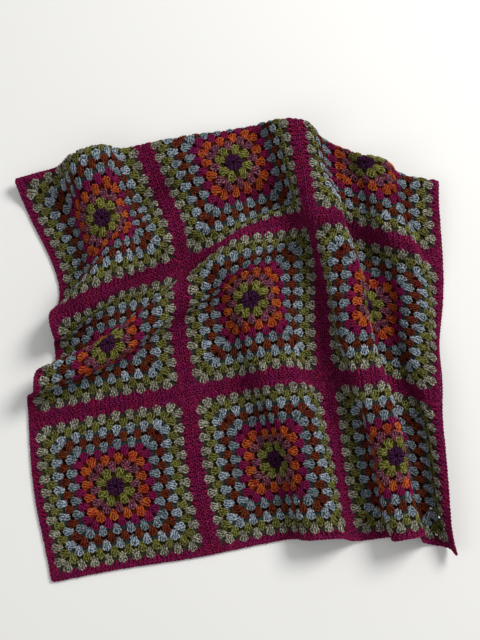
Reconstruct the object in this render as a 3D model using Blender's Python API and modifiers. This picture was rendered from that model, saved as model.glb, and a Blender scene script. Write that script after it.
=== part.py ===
"""Granny square blanket: one sheet of crocheted cloth, laid out in soft folds.

The cloth is worked out as a map from its flat state (s to the right, t away
from the front edge, in metres from the middle) to where it lies.  Three runs
of ridges and one slanting tuck do the folding; each ridge is measured along
the cloth, so the cloth bends and hardly stretches, and a slide along some
ridges skews it a little, as loose crochet does.
"""
import bpy
import numpy as np
from math import pi

# ---------------------------------------------------------------- sizes (m)
PITCH = 0.039                  # one group of three stitches along a round
ROUNDS = 10                    # rounds in a square, each half a pitch deep
STRIP = 1.3 * PITCH            # joining strip between two squares
EDGING = 0.6 * PITCH           # edging outside the outer squares
HALF = 0.5 * (3 * ROUNDS * PITCH + 2 * STRIP + 2 * EDGING)
THICK = 0.008                  # thickness of the crochet
TURN = 8.5                     # the front edge runs up to the right, degrees
CENTRE = (-0.0681, -0.1237)    # middle of the lying cloth's outline

# the far edge is tucked under along a slanting line, most at its right end
TUCK_ACROSS = 80.0             # direction across the line, degrees from +s
TUCK_DISTANCE = 0.55           # line to the middle of the cloth
TUCK_RADIUS = 0.016            # radius of the turned edge
TUCK_MARGIN = 0.020            # the upper layer stays level this far past the flap
TUCK_RAMP = 0.100              # and comes down over this length

# ridges: rows of (centre, half width, slope in degrees) for each wall,
# measured across the line; along: rows of (place along the line, take-up of
# cloth, share of each wall); slide: (centre, half width, shift, fades over);
# wander: the ridges swing by (amount, wave length, phase)
ARM_RIDGE = dict(
    point=(-0.30, 0.0), across=176.0, start=-0.02, end=0.37,
    walls=[(0.09, 0.09, 46.0), (0.26, 0.09, -46.0)],
    along=[(0.00, 0.000, 1.0, 1.0), (0.20, 0.022, 1.0, 1.0),
           (0.40, 0.068, 1.0, 1.0), (0.70, 0.088, 1.0, 1.0)],
    wander=[(0.018, 1.10, 0.9)])
RIGHT_RIDGES = dict(
    point=(0.0, 0.0), across=12.0, start=-0.20, end=0.66,
    walls=[(-0.080, 0.080, 56.0), (0.078, 0.078, -56.0),
           (0.245, 0.074, 85.0), (0.392, 0.072, -86.0),
           (0.512, 0.050, 76.0), (0.612, 0.048, -74.0)],
    along=[(-0.70, 0.070, 0.30, 0.30, 1.00, 1.00, 0.9, 0.9),
           (-0.40, 0.110, 0.35, 0.35, 1.00, 1.00, 1.0, 1.0),
           (-0.10, 0.160, 0.60, 0.60, 1.00, 1.00, 0.9, 0.9),
           (0.15, 0.210, 0.90, 0.90, 1.00, 1.00, 0.8, 0.8),
           (0.40, 0.255, 1.00, 1.00, 1.00, 1.00, 0.9, 0.9),
           (0.70, 0.290, 1.00, 1.00, 1.00, 1.00, 1.0, 1.0)],
    slide=[(0.75, 0.40, 0.115, -1.4)],
    wander=[(0.020, 1.30, 0.6), (0.007, 0.47, 1.9)])
LEFT_PLEAT = dict(
    point=(-0.66, -0.225), across=110.0, start=-0.02, end=0.56, lo=-0.1, hi=2.0,
    walls=[(0.080, 0.076, 98.0), (0.205, 0.074, -90.0),
           (0.330, 0.074, 94.0), (0.462, 0.078, -84.0)],
    along=[(0.0, 0.320, 1.0, 1.0, 1.0, 1.0), (0.2, 0.245, 1.0, 1.0, 0.9, 0.9),
           (0.4, 0.172, 1.0, 1.0, 0.7, 0.7), (0.6, 0.110, 1.0, 1.0, 0.5, 0.5),
           (0.8, 0.062, 1.0, 1.0, 0.4, 0.4), (1.0, 0.030, 1.0, 1.0, 0.4, 0.4),
           (1.3, 0.010, 1.0, 1.0, 0.4, 0.4)],
    slide=[(0.270, 0.18, 0.040, 0.5)],
    wander=[(0.016, 0.90, 2.6), (0.006, 0.38, 0.4)])

GRID = 240                     # cells along a side before thinning
FACES = 4600                   # triangles kept on the middle surface


# ------------------------------------------------------------- the folding
def smooth(x):
    x = np.clip(x, 0.0, 1.0)
    return x * x * x * (x * (6.0 * x - 15.0) + 10.0)


def bump(b, centre, half):
    return np.cos(0.5 * pi * np.clip(np.abs(b - centre) / half, 0.0, 1.0)) ** 2


def eased(grid, a, v, n=25):
    ker = np.hanning(n + 2)[1:-1]
    return np.convolve(np.pad(np.interp(grid, a, v), n // 2, mode="edge"),
                       ker / ker.sum(), mode="valid")


def tuck(s, t):
    """Turn the far edge under; the cloth above it rests on the flap."""
    n0, n1 = np.cos(np.radians(TUCK_ACROSS)), np.sin(np.radians(TUCK_ACROSS))
    d0, d1 = n1, -n0
    b = n0 * s + n1 * t - TUCK_DISTANCE
    a = d0 * s + d1 * t
    r = TUCK_RADIUS
    e1 = ((HALF - d0 * a) / n0 - TUCK_DISTANCE + b) / np.hypot(1.0, d0 / n0)
    e2 = ((HALF - d1 * a) / n1 - TUCK_DISTANCE + b) / np.hypot(1.0, d1 / n1)
    k = 0.012
    inside = -k * np.logaddexp(-e1 / k, -e2 / k)
    level = smooth((inside + TUCK_MARGIN + TUCK_RAMP) / TUCK_RAMP)
    turn = np.clip(b / r + 0.5 * pi, 0.0, pi)
    past = np.maximum(b - 0.5 * pi * r, 0.0)
    upper = b < -0.5 * pi * r
    x = TUCK_DISTANCE + np.where(upper, b, -0.5 * pi * r + r * np.sin(turn) - past)
    z = np.where(upper, 2.0 * r * level, r + r * np.cos(turn))
    return n0 * x + d0 * a, n1 * x + d1 * a, z


def uneven(x, y):
    """The hand's unevenness: edges and rows wander by a few millimetres."""
    return (x + 0.006 * np.sin(7.3 * y + 0.8) + 0.004 * np.sin(13.1 * y - 1.1 + 2.0 * x),
            y + 0.007 * np.sin(6.1 * x + 2.1) + 0.004 * np.sin(12.3 * x + 0.4 - 1.5 * y))


class Ridges:
    """Ridges side by side across a line, with the take-up given along it."""

    def __init__(self, point, across, walls, along, start, end, lo=-1.1, hi=1.1,
                 slide=(), wander=()):
        c, k = np.cos(np.radians(across)), np.sin(np.radians(across))
        self.p, self.n, self.d = point, (c, k), (k, -c)
        bg = self.bg = np.linspace(start, end, 401)
        ag = self.ag = np.linspace(lo, hi, 221)
        rows = np.array(along)
        want = eased(ag, rows[:, 0], rows[:, 1])
        base = sum(np.radians(deg) * eased(ag, rows[:, 0], rows[:, 2 + i])[:, None]
                   * bump(bg, centre, half)[None, :]
                   for i, (centre, half, deg) in enumerate(walls))
        step = bg[1] - bg[0]

        def run(f):
            return np.concatenate([np.zeros((len(f), 1)),
                                   np.cumsum(0.5 * (f[:, 1:] + f[:, :-1]), 1) * step], 1)
        trial = np.linspace(0.0, 1.5, 61)
        took = np.array([(1.0 - np.cos(q * base)).sum(1) * step for q in trial])
        strength = np.array([np.interp(want[i], took[:, i], trial) for i in range(len(ag))])
        slope = strength[:, None] * base
        self.X = start + run(np.cos(slope))
        Z = run(np.sin(slope))
        self.Z = Z - Z[:, -1:] * smooth((bg - start) / (end - start))[None, :]
        self.fan = np.gradient(end - self.X[:, -1], ag)
        self.wander = wander
        self.S = np.zeros_like(Z)
        for centre, half, length, fade in slide:
            self.S += length * smooth(1.0 - ag / fade)[:, None] * bump(bg, centre, half)[None, :]

    def __call__(self, x, y, z):
        px, py = x - self.p[0], y - self.p[1]
        a = px * self.d[0] + py * self.d[1]
        swing = sum(size * np.sin(2.0 * pi * a / wave + phase)
                    for size, wave, phase in self.wander)
        b = px * self.n[0] + py * self.n[1] - swing
        ag, bg = self.ag, self.bg
        fa = np.clip((a - ag[0]) / (ag[1] - ag[0]), 0, len(ag) - 1.001)
        fb = np.clip((b - bg[0]) / (bg[1] - bg[0]), 0, len(bg) - 1.001)
        ia, ib = fa.astype(int), fb.astype(int)
        ra, rb = fa - ia, fb - ib

        def look(table):
            return ((1 - ra) * ((1 - rb) * table[ia, ib] + rb * table[ia, ib + 1])
                    + ra * ((1 - rb) * table[ia + 1, ib] + rb * table[ia + 1, ib + 1]))
        across = look(self.X) + np.maximum(b - bg[-1], 0.0) + np.minimum(b - bg[0], 0.0)
        across = across + swing
        fan = (1 - ra) * self.fan[ia] + ra * self.fan[ia + 1]
        lever = np.maximum(across - 0.5 * (bg[0] + bg[-1]), 0.0)
        a = a + fan * (np.hypot(lever, 0.05) - 0.05) + look(self.S)
        return (self.p[0] + a * self.d[0] + across * self.n[0],
                self.p[1] + a * self.d[1] + across * self.n[1],
                z + look(self.Z))


def lie(s, t):
    """Flat place on the cloth -> middle surface of the cloth as it lies."""
    x, y, z = tuck(s, t)
    x, y = uneven(x, y)
    for ridges in (ARM_RIDGE, RIGHT_RIDGES, LEFT_PLEAT):
        x, y, z = Ridges(**ridges)(x, y, z)
    c, k = np.cos(np.radians(TURN)), np.sin(np.radians(TURN))
    return c * x - k * y - CENTRE[0], k * x + c * y - CENTRE[1], z + 0.5 * THICK


# -------------------------------------------------------------- the object
for old in list(bpy.data.objects):
    bpy.data.objects.remove(old, do_unlink=True)

home = bpy.data.collections.new("granny_square_blanket")
bpy.context.scene.collection.children.link(home)

bpy.ops.mesh.primitive_grid_add(x_subdivisions=GRID, y_subdivisions=GRID,
                                size=2.0 * HALF, location=(0.0, 0.0, 0.0))
cloth = bpy.context.object
cloth.name = cloth.data.name = "blanket"
for held in list(cloth.users_collection):
    held.objects.unlink(cloth)
home.objects.link(cloth)

flat = np.empty(len(cloth.data.vertices) * 3)
cloth.data.vertices.foreach_get("co", flat)
flat = flat.reshape(-1, 3)
lying = np.stack(lie(flat[:, 0], flat[:, 1]), axis=1)
cloth.data.vertices.foreach_set("co", lying.ravel())
cloth.data.update()

thin = cloth.modifiers.new("thin", "DECIMATE")
thin.decimate_type = "COLLAPSE"
thin.ratio = FACES / (2.0 * GRID * GRID)
thin.use_collapse_triangulate = True

body = cloth.modifiers.new("thickness", "SOLIDIFY")
body.thickness = THICK
body.offset = 0.0
body.use_even_offset = False
body.use_rim = True

# where the cloth rests its underside is exactly level
LEVEL = 0.0006
shape = bpy.data.meshes.new_from_object(
    cloth.evaluated_get(bpy.context.evaluated_depsgraph_get()))
cloth.modifiers.clear()
cloth.data = shape
cloth.data.name = "blanket"
for v in shape.vertices:
    if v.co.z < LEVEL:
        v.co.z = 0.0

yarn = bpy.data.materials.new("blanket_yarn")
yarn.use_nodes = True
shader = yarn.node_tree.nodes["Principled BSDF"]
shader.inputs["Base Color"].default_value = (0.16, 0.03, 0.08, 1.0)
shader.inputs["Roughness"].default_value = 0.9
shader.inputs["Metallic"].default_value = 0.0
cloth.data.materials.clear()
cloth.data.materials.append(yarn)
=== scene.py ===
"""Granny square blanket, crocheted in bulky wool and laid out in soft folds.

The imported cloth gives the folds.  Here every stitch is its own loop of yarn:
nine squares of ten coloured rounds (groups of three double crochet, built
outwards like bricks), a magenta round about each square, the ridges that join
them and a worked edge.  Stitches are laid out on the flat cloth, as (s, t)
from its middle and h above its middle surface, and then carried to where the
cloth lies by the same folding as the part.
"""
from math import pi

import bpy
import numpy as np
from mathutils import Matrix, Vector


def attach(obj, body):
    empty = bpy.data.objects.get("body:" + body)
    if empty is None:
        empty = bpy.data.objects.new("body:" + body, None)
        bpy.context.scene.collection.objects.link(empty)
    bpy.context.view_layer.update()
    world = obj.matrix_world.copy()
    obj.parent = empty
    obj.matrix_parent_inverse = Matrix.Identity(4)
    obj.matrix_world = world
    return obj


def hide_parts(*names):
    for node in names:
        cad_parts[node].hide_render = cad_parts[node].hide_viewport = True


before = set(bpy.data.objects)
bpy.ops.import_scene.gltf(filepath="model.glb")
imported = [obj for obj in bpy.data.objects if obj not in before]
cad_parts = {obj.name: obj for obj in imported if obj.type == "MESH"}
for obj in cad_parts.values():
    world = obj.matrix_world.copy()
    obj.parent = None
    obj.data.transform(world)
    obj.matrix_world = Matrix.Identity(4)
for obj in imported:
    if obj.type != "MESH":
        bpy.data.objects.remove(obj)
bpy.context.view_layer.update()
rng = np.random.default_rng(20418)

# ---------------------------------------------------------------- sizes (m)
PITCH = 0.039                  # one group of three stitches along a round
ROUNDS = 10
STRIP = 1.3 * PITCH
EDGING = 0.6 * PITCH
HALF = 0.5 * (3 * ROUNDS * PITCH + 2 * STRIP + 2 * EDGING)
THICK = 0.008
TURN = 8.5
CENTRE = (-0.0681, -0.1237)
SQUARE = ROUNDS * PITCH + STRIP        # from one square's middle to the next
YARN = 0.00245                 # radius of the yarn
DEPTH = 0.4852 * PITCH         # depth of a round
CORNER = 0.42 * PITCH          # the last group of a side stops this far short

TUCK_ACROSS = 80.0
TUCK_DISTANCE = 0.55
TUCK_RADIUS = 0.016
TUCK_MARGIN = 0.020
TUCK_RAMP = 0.100

ARM_RIDGE = dict(
    point=(-0.30, 0.0), across=176.0, start=-0.02, end=0.37,
    walls=[(0.09, 0.09, 46.0), (0.26, 0.09, -46.0)],
    along=[(0.00, 0.000, 1.0, 1.0), (0.20, 0.022, 1.0, 1.0),
           (0.40, 0.068, 1.0, 1.0), (0.70, 0.088, 1.0, 1.0)],
    wander=[(0.018, 1.10, 0.9)])
RIGHT_RIDGES = dict(
    point=(0.0, 0.0), across=12.0, start=-0.20, end=0.66,
    walls=[(-0.080, 0.080, 56.0), (0.078, 0.078, -56.0),
           (0.245, 0.074, 85.0), (0.392, 0.072, -86.0),
           (0.512, 0.050, 76.0), (0.612, 0.048, -74.0)],
    along=[(-0.70, 0.070, 0.30, 0.30, 1.00, 1.00, 0.9, 0.9),
           (-0.40, 0.110, 0.35, 0.35, 1.00, 1.00, 1.0, 1.0),
           (-0.10, 0.160, 0.60, 0.60, 1.00, 1.00, 0.9, 0.9),
           (0.15, 0.210, 0.90, 0.90, 1.00, 1.00, 0.8, 0.8),
           (0.40, 0.255, 1.00, 1.00, 1.00, 1.00, 0.9, 0.9),
           (0.70, 0.290, 1.00, 1.00, 1.00, 1.00, 1.0, 1.0)],
    slide=[(0.75, 0.40, 0.115, -1.4)],
    wander=[(0.020, 1.30, 0.6), (0.007, 0.47, 1.9)])
LEFT_PLEAT = dict(
    point=(-0.66, -0.225), across=110.0, start=-0.02, end=0.56, lo=-0.1, hi=2.0,
    walls=[(0.080, 0.076, 98.0), (0.205, 0.074, -90.0),
           (0.330, 0.074, 94.0), (0.462, 0.078, -84.0)],
    along=[(0.0, 0.320, 1.0, 1.0, 1.0, 1.0), (0.2, 0.245, 1.0, 1.0, 0.9, 0.9),
           (0.4, 0.172, 1.0, 1.0, 0.7, 0.7), (0.6, 0.110, 1.0, 1.0, 0.5, 0.5),
           (0.8, 0.062, 1.0, 1.0, 0.4, 0.4), (1.0, 0.030, 1.0, 1.0, 0.4, 0.4),
           (1.3, 0.010, 1.0, 1.0, 0.4, 0.4)],
    slide=[(0.270, 0.18, 0.040, 0.5)],
    wander=[(0.016, 0.90, 2.6), (0.006, 0.38, 0.4)])


# ------------------------------------------------------------- the folding
def smooth(x):
    x = np.clip(x, 0.0, 1.0)
    return x * x * x * (x * (6.0 * x - 15.0) + 10.0)


def bump(b, centre, half):
    return np.cos(0.5 * pi * np.clip(np.abs(b - centre) / half, 0.0, 1.0)) ** 2


def eased(grid, a, v, n=25):
    ker = np.hanning(n + 2)[1:-1]
    return np.convolve(np.pad(np.interp(grid, a, v), n // 2, mode="edge"),
                       ker / ker.sum(), mode="valid")


def tuck(s, t):
    n0, n1 = np.cos(np.radians(TUCK_ACROSS)), np.sin(np.radians(TUCK_ACROSS))
    d0, d1 = n1, -n0
    b = n0 * s + n1 * t - TUCK_DISTANCE
    a = d0 * s + d1 * t
    r = TUCK_RADIUS
    e1 = ((HALF - d0 * a) / n0 - TUCK_DISTANCE + b) / np.hypot(1.0, d0 / n0)
    e2 = ((HALF - d1 * a) / n1 - TUCK_DISTANCE + b) / np.hypot(1.0, d1 / n1)
    k = 0.012
    inside = -k * np.logaddexp(-e1 / k, -e2 / k)
    level = smooth((inside + TUCK_MARGIN + TUCK_RAMP) / TUCK_RAMP)
    turn = np.clip(b / r + 0.5 * pi, 0.0, pi)
    past = np.maximum(b - 0.5 * pi * r, 0.0)
    upper = b < -0.5 * pi * r
    x = TUCK_DISTANCE + np.where(upper, b, -0.5 * pi * r + r * np.sin(turn) - past)
    z = np.where(upper, 2.0 * r * level, r + r * np.cos(turn))
    return n0 * x + d0 * a, n1 * x + d1 * a, z


def uneven(x, y):
    return (x + 0.006 * np.sin(7.3 * y + 0.8) + 0.004 * np.sin(13.1 * y - 1.1 + 2.0 * x),
            y + 0.007 * np.sin(6.1 * x + 2.1) + 0.004 * np.sin(12.3 * x + 0.4 - 1.5 * y))


class Ridges:
    def __init__(self, point, across, walls, along, start, end, lo=-1.1, hi=1.1,
                 slide=(), wander=()):
        c, k = np.cos(np.radians(across)), np.sin(np.radians(across))
        self.p, self.n, self.d = point, (c, k), (k, -c)
        bg = self.bg = np.linspace(start, end, 401)
        ag = self.ag = np.linspace(lo, hi, 221)
        rows = np.array(along)
        want = eased(ag, rows[:, 0], rows[:, 1])
        base = sum(np.radians(deg) * eased(ag, rows[:, 0], rows[:, 2 + i])[:, None]
                   * bump(bg, centre, half)[None, :]
                   for i, (centre, half, deg) in enumerate(walls))
        step = bg[1] - bg[0]

        def run(f):
            return np.concatenate([np.zeros((len(f), 1)),
                                   np.cumsum(0.5 * (f[:, 1:] + f[:, :-1]), 1) * step], 1)
        trial = np.linspace(0.0, 1.5, 61)
        took = np.array([(1.0 - np.cos(q * base)).sum(1) * step for q in trial])
        strength = np.array([np.interp(want[i], took[:, i], trial) for i in range(len(ag))])
        slope = strength[:, None] * base
        self.X = start + run(np.cos(slope))
        Z = run(np.sin(slope))
        self.Z = Z - Z[:, -1:] * smooth((bg - start) / (end - start))[None, :]
        self.fan = np.gradient(end - self.X[:, -1], ag)
        self.wander = wander
        self.S = np.zeros_like(Z)
        for centre, half, length, fade in slide:
            self.S += length * smooth(1.0 - ag / fade)[:, None] * bump(bg, centre, half)[None, :]

    def __call__(self, x, y, z):
        px, py = x - self.p[0], y - self.p[1]
        a = px * self.d[0] + py * self.d[1]
        swing = sum(size * np.sin(2.0 * pi * a / wave + phase)
                    for size, wave, phase in self.wander)
        b = px * self.n[0] + py * self.n[1] - swing
        ag, bg = self.ag, self.bg
        fa = np.clip((a - ag[0]) / (ag[1] - ag[0]), 0, len(ag) - 1.001)
        fb = np.clip((b - bg[0]) / (bg[1] - bg[0]), 0, len(bg) - 1.001)
        ia, ib = fa.astype(int), fb.astype(int)
        ra, rb = fa - ia, fb - ib

        def look(table):
            return ((1 - ra) * ((1 - rb) * table[ia, ib] + rb * table[ia, ib + 1])
                    + ra * ((1 - rb) * table[ia + 1, ib] + rb * table[ia + 1, ib + 1]))
        across = look(self.X) + np.maximum(b - bg[-1], 0.0) + np.minimum(b - bg[0], 0.0)
        across = across + swing
        fan = (1 - ra) * self.fan[ia] + ra * self.fan[ia + 1]
        lever = np.maximum(across - 0.5 * (bg[0] + bg[-1]), 0.0)
        a = a + fan * (np.hypot(lever, 0.05) - 0.05) + look(self.S)
        return (self.p[0] + a * self.d[0] + across * self.n[0],
                self.p[1] + a * self.d[1] + across * self.n[1],
                z + look(self.Z))


FOLDS = [Ridges(**r) for r in (ARM_RIDGE, RIGHT_RIDGES, LEFT_PLEAT)]


def lie(s, t):
    x, y, z = tuck(s, t)
    x, y = uneven(x, y)
    for ridges in FOLDS:
        x, y, z = ridges(x, y, z)
    c, k = np.cos(np.radians(TURN)), np.sin(np.radians(TURN))
    return c * x - k * y - CENTRE[0], k * x + c * y - CENTRE[1], z + 0.5 * THICK


# the lying middle surface and its upward normals, on a 1.3 mm grid
AXIS = np.linspace(-HALF - 0.01, HALF + 0.01, 1031)
_S, _T = np.meshgrid(AXIS, AXIS, indexing="ij")
SURFACE = np.stack(lie(_S, _T), -1)
_n = np.cross(np.gradient(SURFACE, AXIS, axis=0), np.gradient(SURFACE, AXIS, axis=1))
NORMAL = _n / np.linalg.norm(_n, axis=-1, keepdims=True)


def place(p):
    """(..., 3) points (s, t, h) on the flat cloth -> where they lie."""
    step = AXIS[1] - AXIS[0]
    fs = np.clip((p[..., 0] - AXIS[0]) / step, 0, len(AXIS) - 1.001)
    ft = np.clip((p[..., 1] - AXIS[0]) / step, 0, len(AXIS) - 1.001)
    i, j = fs.astype(int), ft.astype(int)
    u, v = (fs - i)[..., None], (ft - j)[..., None]

    def look(g):
        return ((1 - u) * ((1 - v) * g[i, j] + v * g[i, j + 1])
                + u * ((1 - v) * g[i + 1, j] + v * g[i + 1, j + 1]))
    out = look(SURFACE) + p[..., 2:] * look(NORMAL)
    out[..., 2] = np.maximum(out[..., 2], 0.0002)
    return out


# ------------------------------------------------------------- yarn shapes
# one double crochet as a closed loop: sideways (mm), share of the way up,
# height over the middle surface (mm), thickness of the yarn
STITCH = np.array([
    (-1.2, 0.04, -0.8, 0.90), (-2.4, 0.22, 0.8, 0.96), (-1.7, 0.42, 2.0, 1.05),
    (0.9, 0.57, 2.5, 1.08), (3.0, 0.74, 2.0, 1.06), (3.4, 0.92, 1.3, 1.00),
    (0.8, 1.02, 1.0, 1.00), (-2.6, 0.98, 0.6, 1.00), (-3.6, 0.80, 0.1, 1.02),
    (-1.8, 0.60, -0.8, 1.00), (1.2, 0.41, -1.2, 0.95), (2.2, 0.18, -0.8, 0.90)])
# one loop of a chain, along the row (mm), across (mm), height (mm), thickness
CHAIN = np.array([
    (-6.2, 0.0, -0.6, 0.9), (-3.2, 2.9, 0.6, 1.0), (1.6, 3.4, 2.0, 1.05),
    (5.6, 1.9, 2.6, 1.0), (6.2, -0.9, 2.3, 1.0), (3.0, -3.2, 1.4, 1.0),
    (-1.4, -3.3, 0.4, 1.0), (-4.6, -2.0, -0.4, 0.95)])


def tubes(name, path, radius, sides, shade):
    """Loops of yarn along closed paths.  path is (K, M, 3) as (s, t, h) on the
    flat cloth, radius (K, M), shade (K, 2): each stitch's tone and phase."""
    K, M, _ = path.shape
    ahead = np.roll(path, -1, 1) - np.roll(path, 1, 1)
    ahead /= np.linalg.norm(ahead, axis=2, keepdims=True)
    up = np.zeros_like(path)
    up[..., 2] = 1.0
    up -= ahead * (up * ahead).sum(2, keepdims=True)
    up /= np.linalg.norm(up, axis=2, keepdims=True)
    side = np.cross(ahead, up)
    turn = 2.0 * pi * (np.arange(sides) + 0.25) / sides
    ring = (np.cos(turn)[None, None, :, None] * side[:, :, None, :]
            + np.sin(turn)[None, None, :, None] * up[:, :, None, :])
    points = path[:, :, None, :] + radius[:, :, None, None] * ring
    verts = place(points).reshape(-1, 3)

    k = np.arange(K)[:, None, None] * (M * sides)
    m = np.arange(M)[None, :, None]
    r = np.arange(sides)[None, None, :]
    m1, r1 = (m + 1) % M, (r + 1) % sides
    quads = np.stack([k + m * sides + r, k + m * sides + r1,
                      k + m1 * sides + r1, k + m1 * sides + r], -1).reshape(-1, 4)

    me = bpy.data.meshes.new(name)
    me.vertices.add(len(verts))
    me.vertices.foreach_set("co", verts.astype(np.float32).ravel())
    me.loops.add(quads.size)
    me.loops.foreach_set("vertex_index", quads.astype(np.int32).ravel())
    me.polygons.add(len(quads))
    me.polygons.foreach_set("loop_start", np.arange(0, quads.size, 4, dtype=np.int32))
    me.polygons.foreach_set("use_smooth", np.ones(len(quads), bool))

    # a cell of the map for each stitch, the loop laid in it as two strips
    cols = int(np.ceil(np.sqrt(K)))
    half = M // 2
    ks, ms, rs = np.meshgrid(np.arange(K), np.arange(M), np.arange(sides), indexing="ij")
    corner = np.array([(0, 0), (0, 1), (1, 1), (1, 0)])
    x = (ms[..., None] % half + corner[:, 0]) / half
    y = (ms[..., None] // half + (rs[..., None] + corner[:, 1]) / sides) / 2.0
    cell = np.stack([(ks % cols), (ks // cols)], -1)[..., None, :]
    atlas = (cell + 0.03 + 0.94 * np.stack([x, y], -1)) / cols
    # yarn coordinates: x counts turns of the ply, y goes round the yarn
    length = np.linalg.norm(np.roll(path, -1, 1) - path, axis=2)
    at = np.concatenate([np.zeros((K, 1)), np.cumsum(length, 1)], 1) / 0.0085
    x = at[ks[..., None], ms[..., None] + corner[:, 0]] + 7.0 * shade[ks, 1][..., None]
    y = (rs[..., None] + corner[:, 1]) / sides
    for label, uv in (("OFBake", atlas), ("yarn", np.stack([x, y], -1))):
        layer = me.uv_layers.new(name=label)
        layer.data.foreach_set("uv", uv.astype(np.float32).ravel())
    me.uv_layers.active = me.uv_layers["OFBake"]
    tone = me.attributes.new("tone", "FLOAT", "POINT")
    tone.data.foreach_set("value", np.repeat(shade[:, 0], M * sides).astype(np.float32))
    me.update(calc_edges=True)
    ob = bpy.data.objects.new(name, me)
    bpy.context.collection.objects.link(ob)
    return ob


def stitches(base, top, lift, size=1.0):
    """Closed paths of double crochet from base to top, both (K, 2) in (s, t)."""
    K = len(base)
    axis = top - base
    length = np.linalg.norm(axis, axis=1, keepdims=True)
    e = axis / length
    right = np.stack([e[:, 1], -e[:, 0]], 1)
    side = 0.001 * STITCH[None, :, 0] * (size * rng.uniform(0.92, 1.08, (K, 1)))
    side = side * np.where(rng.random((K, 1)) < 0.12, -1.0, 1.0)
    up = STITCH[None, :, 1]
    st = (base[:, None, :] + axis[:, None, :] * up[..., None]
          + right[:, None, :] * side[..., None])
    h = 0.001 * STITCH[None, :, 2] * rng.uniform(0.92, 1.10, (K, 1)) + lift[:, None]
    st = st + rng.normal(0.0, 0.00016, st.shape)
    return np.concatenate([st, h[..., None]], -1)


def turned(p, quarter):
    """(u along the side, v outward) of the top side -> (s, t), by quarters."""
    for _ in range(quarter):
        p = np.stack([p[..., 1], -p[..., 0]], -1)
    return p


def middle(n):
    return DEPTH * (n - 0.21)


def round_groups(n):
    """Base and top of each stitch of round n of a square, about its middle,
    and which group each belongs to."""
    v = middle(n)
    count = n
    u_end = v - CORNER if n > 1 else 0.0
    us = np.linspace(-u_end, u_end, count) if n > 1 else np.array([0.0])
    base, top, lift, group = [], [], [], []
    for q in range(4):
        for i, u in enumerate(us):
            corner = 0.0
            if n > 1 and i == 0:
                corner = -1.0
            if n > 1 and i == count - 1:
                corner = 1.0
            lean = rng.normal(0.0, 0.020) * PITCH
            shift = rng.normal(0.0, 0.018, 2) * PITCH
            grow = rng.uniform(0.95, 1.06)
            for j in (-1.0, 0.0, 1.0):
                if n == 1:
                    b = np.array([0.13 * PITCH * j, 0.10 * PITCH])
                    w = np.array([0.33 * PITCH * j, (0.62 - 0.13 * abs(j)) * PITCH])
                else:
                    out = corner * j > 0
                    b = np.array([u + (0.140 * j - 0.05 * corner) * PITCH,
                                  v - (0.385 - 0.060 * abs(j)) * PITCH])
                    w = np.array([u + (0.180 * j + (0.035 * corner if out else 0.0)) * PITCH * grow,
                                  v + (0.375 - 0.075 * abs(j) - (0.025 if out else 0.0)) * PITCH * grow])
                    w[0] += lean
                    b, w = b + shift, w + shift
                base.append(turned(b, q))
                top.append(turned(w, q))
                lift.append(0.0009 * (1.0 - abs(j)))
                group.append(len(lift) // 3)
    return np.array(base), np.array(top), np.array(lift), len(us) * 4


def square_middles():
    return [(SQUARE * i, SQUARE * j) for j in (-1, 0, 1) for i in (-1, 0, 1)]


def tones(K, group=1):
    g = np.repeat(rng.random((K + group - 1) // group), group)[:K]
    return np.stack([np.clip(0.65 * g + 0.35 * rng.random(K), 0, 1), rng.random(K)], 1)


def made_round(name, n):
    paths, radii, shades = [], [], []
    for cx, cy in square_middles():
        base, top, lift, _ = round_groups(n)
        p = stitches(base, top, lift, 1.0 if n > 1 else 0.9)
        p[..., :2] += (cx, cy)
        paths.append(p)
        radii.append(YARN * STITCH[None, :, 3] * rng.uniform(0.94, 1.08, (len(p), 1)))
        shades.append(tones(len(p), 3))
    return tubes(name, np.concatenate(paths), np.concatenate(radii), 5,
                 np.concatenate(shades))


def made_border(name):
    """The magenta round about each square: close double crochet, 33 a side."""
    paths, radii, shades = [], [], []
    v0, v1 = 4.93 * PITCH, 5.47 * PITCH
    for cx, cy in square_middles():
        u = np.linspace(-5.36, 5.36, 33) * PITCH
        for q in range(4):
            j = rng.normal(0.0, 0.012 * PITCH, (33, 2))
            b = np.stack([u * 0.925 + j[:, 0], v0 + rng.normal(0, 0.0007, 33)], 1)
            w = np.stack([u + j[:, 1], v1 + rng.normal(0, 0.0006, 33)
                          - 0.0010 * (np.arange(33) % 3 != 1)], 1)
            p = stitches(turned(b, q), turned(w, q), rng.uniform(-0.0002, 0.0003, 33), 1.12)
            p[..., :2] += (cx, cy)
            paths.append(p)
            radii.append(1.10 * YARN * STITCH[None, :, 3] * rng.uniform(0.94, 1.07, (33, 1)))
            shades.append(tones(33))
    return tubes(name, np.concatenate(paths), np.concatenate(radii), 5,
                 np.concatenate(shades))


def chain_row(a, b, step=0.0105, wide=1.0, lift=0.0):
    """Chain loops in a straight row from a to b, both (s, t)."""
    a, b = np.array(a), np.array(b)
    length = np.linalg.norm(b - a)
    n = int(round(length / step))
    e = (b - a) / length
    right = np.array([e[1], -e[0]])
    mid = a + (b - a) * ((np.arange(n) + 0.5) / n)[:, None]
    x = 0.001 * CHAIN[None, :, 0] * rng.uniform(0.94, 1.08, (n, 1))
    y = 0.001 * CHAIN[None, :, 1] * wide * rng.uniform(0.9, 1.1, (n, 1))
    st = mid[:, None, :] + x[..., None] * e + y[..., None] * right
    st = st + rng.normal(0.0, 0.0002, (n, 1, 2))
    h = 0.001 * CHAIN[None, :, 2] * np.ones((n, 1)) + lift
    return np.concatenate([st, h[..., None]], -1)


def made_chains(name, rows):
    p = np.concatenate(rows)
    radii = YARN * 0.96 * CHAIN[None, :, 3] * rng.uniform(0.94, 1.07, (len(p), 1))
    return tubes(name, p, radii, 4, tones(len(p)))


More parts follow.
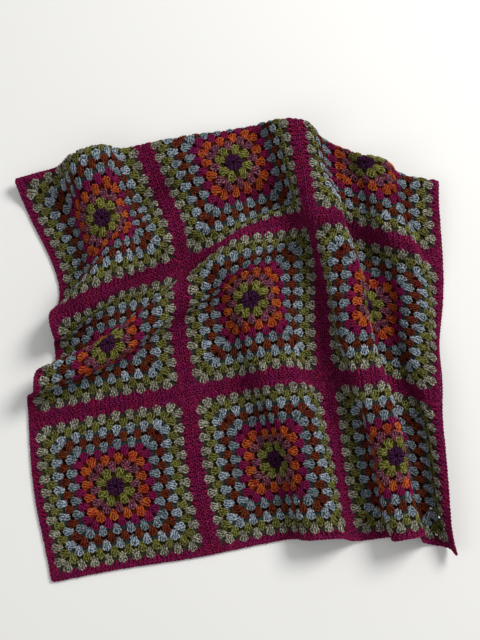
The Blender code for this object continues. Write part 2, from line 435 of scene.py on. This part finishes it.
# --------------------------------------------------------------- materials
def linear(rgb):
    c = np.array(rgb) / 255.0
    return np.where(c <= 0.04045, c / 12.92, ((c + 0.055) / 1.055) ** 2.4)


def rgba(rgb, k=1.0):
    return (*(linear(rgb) * k), 1.0)


def yarn_material(name, stops, grain=330.0, sheen=0.14, spread=0.34):
    """Heathered wool.  stops: (place, colour) of a ramp from dark to light flecks."""
    m = bpy.data.materials.new(name)
    m.use_nodes = True
    nt, nodes = m.node_tree, m.node_tree.nodes
    shader = nodes["Principled BSDF"]
    link = nt.links.new
    coord = nodes.new("ShaderNodeTexCoord")
    fleck = nodes.new("ShaderNodeTexNoise")
    fleck.inputs["Scale"].default_value = grain
    fleck.inputs["Detail"].default_value = 2.0
    fleck.inputs["Roughness"].default_value = 0.65
    link(coord.outputs["Object"], fleck.inputs["Vector"])
    ramp = nodes.new("ShaderNodeValToRGB")
    el = ramp.color_ramp.elements
    while len(el) < len(stops):
        el.new(0.5)
    for e, (at, rgb) in zip(el, stops):
        e.position = at
        e.color = rgba(rgb)
    link(fleck.outputs["Fac"], ramp.inputs["Fac"])
    # each stitch takes its own tone, and the dye drifts along the yarn
    tone = nodes.new("ShaderNodeAttribute")
    tone.attribute_name = "tone"
    drift = nodes.new("ShaderNodeTexNoise")
    drift.inputs["Scale"].default_value = 38.0
    drift.inputs["Detail"].default_value = 1.0
    link(coord.outputs["Object"], drift.inputs["Vector"])
    add = nodes.new("ShaderNodeMath")
    add.operation = "ADD"
    link(tone.outputs["Fac"], add.inputs[0])
    link(drift.outputs["Fac"], add.inputs[1])
    level = nodes.new("ShaderNodeMapRange")
    level.inputs["From Min"].default_value = 0.2
    level.inputs["From Max"].default_value = 1.8
    level.inputs["To Min"].default_value = 1.0 - spread
    level.inputs["To Max"].default_value = 1.0 + spread
    link(add.outputs[0], level.inputs["Value"])
    hsv = nodes.new("ShaderNodeHueSaturation")
    link(ramp.outputs["Color"], hsv.inputs["Color"])
    link(level.outputs["Result"], hsv.inputs["Value"])
    shift = nodes.new("ShaderNodeMapRange")
    shift.inputs["From Min"].default_value = 0.3
    shift.inputs["From Max"].default_value = 0.7
    shift.inputs["To Min"].default_value = 0.488
    shift.inputs["To Max"].default_value = 0.512
    link(drift.outputs["Fac"], shift.inputs["Value"])
    link(shift.outputs["Result"], hsv.inputs["Hue"])
    link(hsv.outputs["Color"], shader.inputs["Base Color"])
    # plies twisting round the yarn, and the fuzz on them
    uv = nodes.new("ShaderNodeUVMap")
    uv.uv_map = "yarn"
    parts = nodes.new("ShaderNodeSeparateXYZ")
    link(uv.outputs["UV"], parts.inputs[0])
    twice = nodes.new("ShaderNodeMath")
    twice.operation = "MULTIPLY_ADD"
    twice.inputs[1].default_value = 2.0
    link(parts.outputs["Y"], twice.inputs[0])
    link(parts.outputs["X"], twice.inputs[2])
    wave = nodes.new("ShaderNodeMath")
    wave.operation = "MULTIPLY"
    wave.inputs[1].default_value = 2.0 * pi
    link(twice.outputs[0], wave.inputs[0])
    sine = nodes.new("ShaderNodeMath")
    sine.operation = "SINE"
    link(wave.outputs[0], sine.inputs[0])
    fuzz = nodes.new("ShaderNodeTexNoise")
    fuzz.inputs["Scale"].default_value = 1500.0
    fuzz.inputs["Detail"].default_value = 3.0
    link(coord.outputs["Object"], fuzz.inputs["Vector"])
    mixed = nodes.new("ShaderNodeMath")
    mixed.operation = "MULTIPLY_ADD"
    mixed.inputs[1].default_value = 0.45
    link(sine.outputs[0], mixed.inputs[0])
    link(fuzz.outputs["Fac"], mixed.inputs[2])
    relief = nodes.new("ShaderNodeBump")
    relief.inputs["Strength"].default_value = 0.55
    relief.inputs["Distance"].default_value = 0.0009
    link(mixed.outputs[0], relief.inputs["Height"])
    link(relief.outputs["Normal"], shader.inputs["Normal"])
    shader.inputs["Roughness"].default_value = 0.92
    shader.inputs["Specular IOR Level"].default_value = 0.05
    shader.inputs["Sheen Weight"].default_value = sheen
    shader.inputs["Sheen Roughness"].default_value = 0.50
    shader.inputs["Sheen Tint"].default_value = rgba(stops[-1][1])
    return m


# each yarn's ramp from dark to light flecks, and the size of its grain
YARNS = {
    "magenta_yarn": [(0.30, (59, 7, 31)), (0.46, (101, 14, 54)),
                     (0.58, (115, 20, 64)), (0.70, (156, 58, 100))],
    "aubergine_yarn": [(0.34, (22, 7, 22)), (0.46, (50, 18, 46)),
                       (0.58, (59, 24, 56)), (0.70, (89, 54, 80))],
    "lime_yarn": [(0.37, (40, 35, 10)), (0.44, (95, 88, 32)),
                  (0.54, (112, 113, 50)), (0.66, (149, 143, 98))],
    "plum_yarn": [(0.37, (37, 12, 23)), (0.44, (90, 37, 55)),
                  (0.56, (110, 56, 72)), (0.65, (160, 118, 124))],
    "orange_yarn": [(0.37, (75, 24, 8)), (0.44, (143, 56, 23)),
                    (0.56, (167, 73, 32)), (0.66, (186, 112, 72))],
    "rust_yarn": [(0.36, (33, 11, 7)), (0.44, (77, 28, 13)),
                  (0.57, (97, 40, 23)), (0.68, (122, 76, 57))],
    "blue_yarn": [(0.39, (34, 36, 35)), (0.44, (96, 115, 117)),
                  (0.54, (134, 147, 162)), (0.64, (188, 187, 196))],
    "olive_yarn": [(0.38, (32, 26, 9)), (0.44, (85, 76, 28)),
                   (0.54, (98, 101, 46)), (0.66, (138, 136, 97))],
    "oatmeal_yarn": [(0.40, (33, 28, 23)), (0.45, (112, 105, 91)),
                     (0.55, (132, 135, 116)), (0.63, (184, 180, 166))],
}
GRAIN = {"magenta_yarn": 330.0, "aubergine_yarn": 300.0, "rust_yarn": 270.0,
         "orange_yarn": 260.0}
MATERIALS = {slot: yarn_material(slot, stops, GRAIN.get(slot, 235.0))
             for slot, stops in YARNS.items()}
# the sixth round is worked in a greyer dye lot of the blue
MATERIALS["blue_yarn_grey"] = yarn_material(
    "blue_yarn_grey", [(0.39, (32, 33, 31)), (0.44, (84, 101, 100)),
                       (0.54, (114, 127, 138)), (0.64, (155, 160, 170))], 235.0)

# ------------------------------------------------------------- the stitches
ROUND_YARNS = ["aubergine", "lime", "plum", "orange", "magenta", "blue", "rust",
               "blue", "olive", "oatmeal"]


def finish_piece(ob, slot, look=None):
    ob.data.materials.append(MATERIALS[look or slot])
    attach(ob, "root")
    return ob


for n, yarn in enumerate(ROUND_YARNS, 1):
    finish_piece(made_round(f"round_{n:02d}_{yarn}", n), yarn + "_yarn",
                 "blue_yarn_grey" if n == 6 else None)
finish_piece(made_border("round_11_magenta"), "magenta_yarn")

line = 0.5 * SQUARE
joins = []
for at in (-line, line):
    joins.append(chain_row((at, -HALF + 0.006), (at, HALF - 0.006), wide=1.05, lift=0.0004))
    joins.append(chain_row((-HALF + 0.006, at), (HALF - 0.006, at), wide=1.05, lift=0.0004))
finish_piece(made_chains("joining_ridges", joins), "magenta_yarn")

edge = HALF - 0.0052
ring = [(-edge, -edge), (edge, -edge), (edge, edge), (-edge, edge), (-edge, -edge)]
finish_piece(made_chains("worked_edge", [chain_row(a, b, wide=0.9)
                                         for a, b in zip(ring, ring[1:])]), "magenta_yarn")


# --------------------------------------- painted shade behind the groups
def behind():
    """A sheet of painted shade behind the groups, in each round's yarn colour darkened, open in only a
    few gaps.
    """
    quarter = 0.25 * PITCH
    inner = (np.arange(42) - 20.5) * quarter
    rim = 5.6 * PITCH - 0.004
    lines = [np.array([-SQUARE - rim, -SQUARE - 0.5 * (rim + 5.125 * PITCH)])]
    for c in (-SQUARE, 0.0, SQUARE):
        lines.append(c + inner)
        if c < SQUARE:
            a, b = c + inner[-1], c + SQUARE + inner[0]
            lines.append(a + (b - a) * np.array([0.25, 0.5, 0.75]))
    lines.append(np.array([SQUARE + 0.5 * (rim + 5.125 * PITCH), SQUARE + rim]))
    axis = np.concatenate(lines)
    n = len(axis)
    A, B = np.meshgrid(axis, axis, indexing="ij")

    def own(x):
        c = SQUARE * np.clip(np.round(x / SQUARE), -1, 1)
        return c, x - c
    ca, u = own(A)
    cb, v = own(B)
    # ease the square mesh onto the rounds as they are worked
    big, small = np.maximum(np.abs(u), np.abs(v)), np.minimum(np.abs(u), np.abs(v))
    inside = big < 5.05 * PITCH
    k = 2.0 * big / PITCH + 0.5
    new_big = np.where(big > 0.2 * PITCH, DEPTH * (k - 0.21), big * 1.4)
    q = np.where(k > 1.6, 2.0 * (0.4852 * k - 0.5219) / np.maximum(k - 1.0, 0.5), 0.9)
    near = np.maximum(big - 0.75 * PITCH, 0.0)
    share = np.where(small <= near, small * q, near * q + (small - near)
                     * (new_big - near * q) / np.maximum(big - near, 1e-6))
    wide = np.abs(u) >= np.abs(v)
    nu = np.sign(u) * np.where(wide, new_big, share)
    nv = np.sign(v) * np.where(wide, share, new_big)
    A2 = ca + np.where(inside, nu, u)
    B2 = cb + np.where(inside, nv, v)
    flat = np.stack([A2, B2, np.full_like(A2, -0.0012)], -1)

    idx = np.arange(n * n).reshape(n, n)
    quads = np.stack([idx[:-1, :-1], idx[1:, :-1], idx[1:, 1:], idx[:-1, 1:]], -1).reshape(-1, 4)
    mid = flat.reshape(-1, 3)[quads].mean(1)
    cu = 0.5 * (A[:-1, :-1] + A[1:, 1:]).ravel()
    cv = 0.5 * (B[:-1, :-1] + B[1:, 1:]).ravel()
    _, cu = own(cu)
    _, cv = own(cv)
    big = np.maximum(np.abs(cu), np.abs(cv)) / quarter
    small = np.minimum(np.abs(cu), np.abs(cv)) / quarter
    kb, ks = np.round(big).astype(int), np.round(small).astype(int)
    on = (np.abs(big - kb) < 0.1) & (np.abs(small - ks) < 0.1)
    rnd = (kb + 1) // 2                      # kb = 2n - 1 at the middle of round n
    gap = (on & (kb % 2 == 1) & (rnd >= 2) & (rnd <= ROUNDS)
           & (ks % 2 == 0) & ((ks // 2 + rnd) % 2 == 0) & (ks <= 2 * rnd - 4))
    rnd = np.where(big > 20.0, 11, np.clip(np.ceil(big / 2.0), 1, 10)).astype(int)

    # the gaps are backed by this sheet of painted shade; only where the cloth is drawn down at the lower
    # right corner do a few stand open
    gap &= (mid[:, 0] > 0.50) & (mid[:, 1] < -0.54)
    pts = flat.reshape(-1, 3)
    holes = quads[gap]
    centre = pts[holes].mean(1, keepdims=True)
    inner_pts = centre + (pts[holes] - centre) * 0.62
    inner_idx = len(pts) + np.arange(len(holes) * 4).reshape(-1, 4)
    rims = []
    for c in range(4):
        d = (c + 1) % 4
        rims.append(np.stack([holes[:, c], holes[:, d], inner_idx[:, d], inner_idx[:, c]], -1))
    faces = np.concatenate([quads[~gap]] + rims)
    rounds = np.concatenate([rnd[~gap]] + [rnd[gap]] * 4)
    pts = np.concatenate([pts, inner_pts.reshape(-1, 3)])

    # a sheet of painted shade: dark yarn colour set in the gaps, where there is only shade
    me = bpy.data.meshes.new("painted_shade_backing")
    me.vertices.add(len(pts))
    me.vertices.foreach_set("co", place(pts).astype(np.float32).ravel())
    me.loops.add(faces.size)
    me.loops.foreach_set("vertex_index", faces.astype(np.int32).ravel())
    me.polygons.add(len(faces))
    me.polygons.foreach_set("loop_start", np.arange(0, faces.size, 4, dtype=np.int32))
    me.polygons.foreach_set("use_smooth", np.ones(len(faces), bool))
    layer = me.uv_layers.new(name="OFBake")
    uv = 0.5 + pts[faces.ravel(), :2] / (2.04 * HALF)
    layer.data.foreach_set("uv", uv.astype(np.float32).ravel())
    names = ROUND_YARNS + ["magenta"]
    # the painted shade starts from each round's mid-dark yarn colour
    deep = np.array([linear(YARNS[y + "_yarn"][1][1]) for y in names])
    deep[-1] *= 3.0                 # the painted shade is three times lighter in the strips, where the yarn itself fills in behind
    tint = me.color_attributes.new("tint", "FLOAT_COLOR", "CORNER")
    col = np.ones((faces.size, 4), np.float32)
    col[:, :3] = np.repeat(deep[rounds - 1], 4, axis=0)
    tint.data.foreach_set("color", col.ravel())
    me.update(calc_edges=True)
    ob = bpy.data.objects.new("painted_shade_backing", me)
    bpy.context.collection.objects.link(ob)

    # the material of the painted shade sheet
    m = bpy.data.materials.new("painted_shade_backing")
    m.use_nodes = True
    nt, nodes = m.node_tree, m.node_tree.nodes
    shader = nodes["Principled BSDF"]
    link = nt.links.new
    coord = nodes.new("ShaderNodeTexCoord")
    at = nodes.new("ShaderNodeAttribute")
    at.attribute_name = "tint"
    noise = nodes.new("ShaderNodeTexNoise")
    noise.inputs["Scale"].default_value = 260.0
    noise.inputs["Detail"].default_value = 2.0
    link(coord.outputs["Object"], noise.inputs["Vector"])
    # painted shade: the yarn colour darkened to between 7 and 30 per cent, mottled by noise
    dim = nodes.new("ShaderNodeMapRange")
    dim.inputs["From Min"].default_value = 0.3
    dim.inputs["From Max"].default_value = 0.7
    dim.inputs["To Min"].default_value = 0.07
    dim.inputs["To Max"].default_value = 0.30
    link(noise.outputs["Fac"], dim.inputs["Value"])
    hsv = nodes.new("ShaderNodeHueSaturation")
    link(at.outputs["Color"], hsv.inputs["Color"])
    link(dim.outputs["Result"], hsv.inputs["Value"])
    link(hsv.outputs["Color"], shader.inputs["Base Color"])
    relief = nodes.new("ShaderNodeBump")
    relief.inputs["Strength"].default_value = 0.8
    relief.inputs["Distance"].default_value = 0.002
    link(noise.outputs["Fac"], relief.inputs["Height"])
    link(relief.outputs["Normal"], shader.inputs["Normal"])
    shader.inputs["Roughness"].default_value = 0.95
    shader.inputs["Specular IOR Level"].default_value = 0.0
    me.materials.append(m)
    return ob


# the sheet of painted shade behind the groups
back = behind()
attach(back, "root")
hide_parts("blanket")

# ------------------------------------------------------ floor, light, camera
bpy.ops.mesh.primitive_plane_add(size=40.0, location=(0.0, 0.0, 0.0))
floor = bpy.context.object
floor.name = "floor"
paint = bpy.data.materials.new("pale_floor")
paint.use_nodes = True
nodes = paint.node_tree.nodes
shader = nodes["Principled BSDF"]
coord = nodes.new("ShaderNodeTexCoord")
cloud = nodes.new("ShaderNodeTexNoise")
cloud.inputs["Scale"].default_value = 1.3
cloud.inputs["Detail"].default_value = 3.0
paint.node_tree.links.new(coord.outputs["Object"], cloud.inputs["Vector"])
ramp = nodes.new("ShaderNodeValToRGB")
ramp.color_ramp.elements[0].color = (0.862, 0.856, 0.832, 1.0)
ramp.color_ramp.elements[1].color = (0.885, 0.880, 0.860, 1.0)
paint.node_tree.links.new(cloud.outputs["Fac"], ramp.inputs["Fac"])
paint.node_tree.links.new(ramp.outputs["Color"], shader.inputs["Base Color"])
shader.inputs["Roughness"].default_value = 0.7
shader.inputs["Specular IOR Level"].default_value = 0.2
floor.data.materials.append(paint)

scene = bpy.context.scene
scene.view_settings.view_transform = "Standard"
scene.view_settings.look = "None"
scene.view_settings.exposure = 0.0
world = bpy.data.worlds.new("studio")
scene.world = world
world.use_nodes = True
sky = world.node_tree.nodes["Background"]
sky.inputs["Color"].default_value = (0.98, 0.99, 1.0, 1.0)
sky.inputs["Strength"].default_value = 0.42


def area_light(name, at, to, size, power, colour=(1.0, 1.0, 1.0)):
    data = bpy.data.lights.new(name, "AREA")
    data.shape = "DISK"
    data.size = size
    data.energy = power
    data.color = colour
    ob = bpy.data.objects.new(name, data)
    scene.collection.objects.link(ob)
    ob.location = at
    ob.rotation_euler = (Vector(to) - Vector(at)).to_track_quat("-Z", "Y").to_euler()
    return ob


area_light("key", (3.6, 3.0, 4.2), (0.0, 0.0, 0.0), 2.8, 322.0, (1.0, 0.99, 0.97))
area_light("fill", (-2.4, -1.8, 3.2), (0.0, 0.0, 0.0), 2.6, 20.0, (0.97, 0.98, 1.0))

ELEVATION = 80.0
DISTANCE = 3.30
AIM = (0.026, 0.079, 0.0)
cam_data = bpy.data.cameras.new("camera")
cam_data.lens = 67.0
cam = bpy.data.objects.new("camera", cam_data)
scene.collection.objects.link(cam)
e = np.radians(ELEVATION)
cam.location = Vector(AIM) + Vector((0.0, -np.cos(e), np.sin(e))) * DISTANCE
cam.rotation_euler = (Vector(AIM) - cam.location).to_track_quat("-Z", "Y").to_euler()
cam_data.clip_start, cam_data.clip_end = 0.1, 60.0
scene.camera = cam
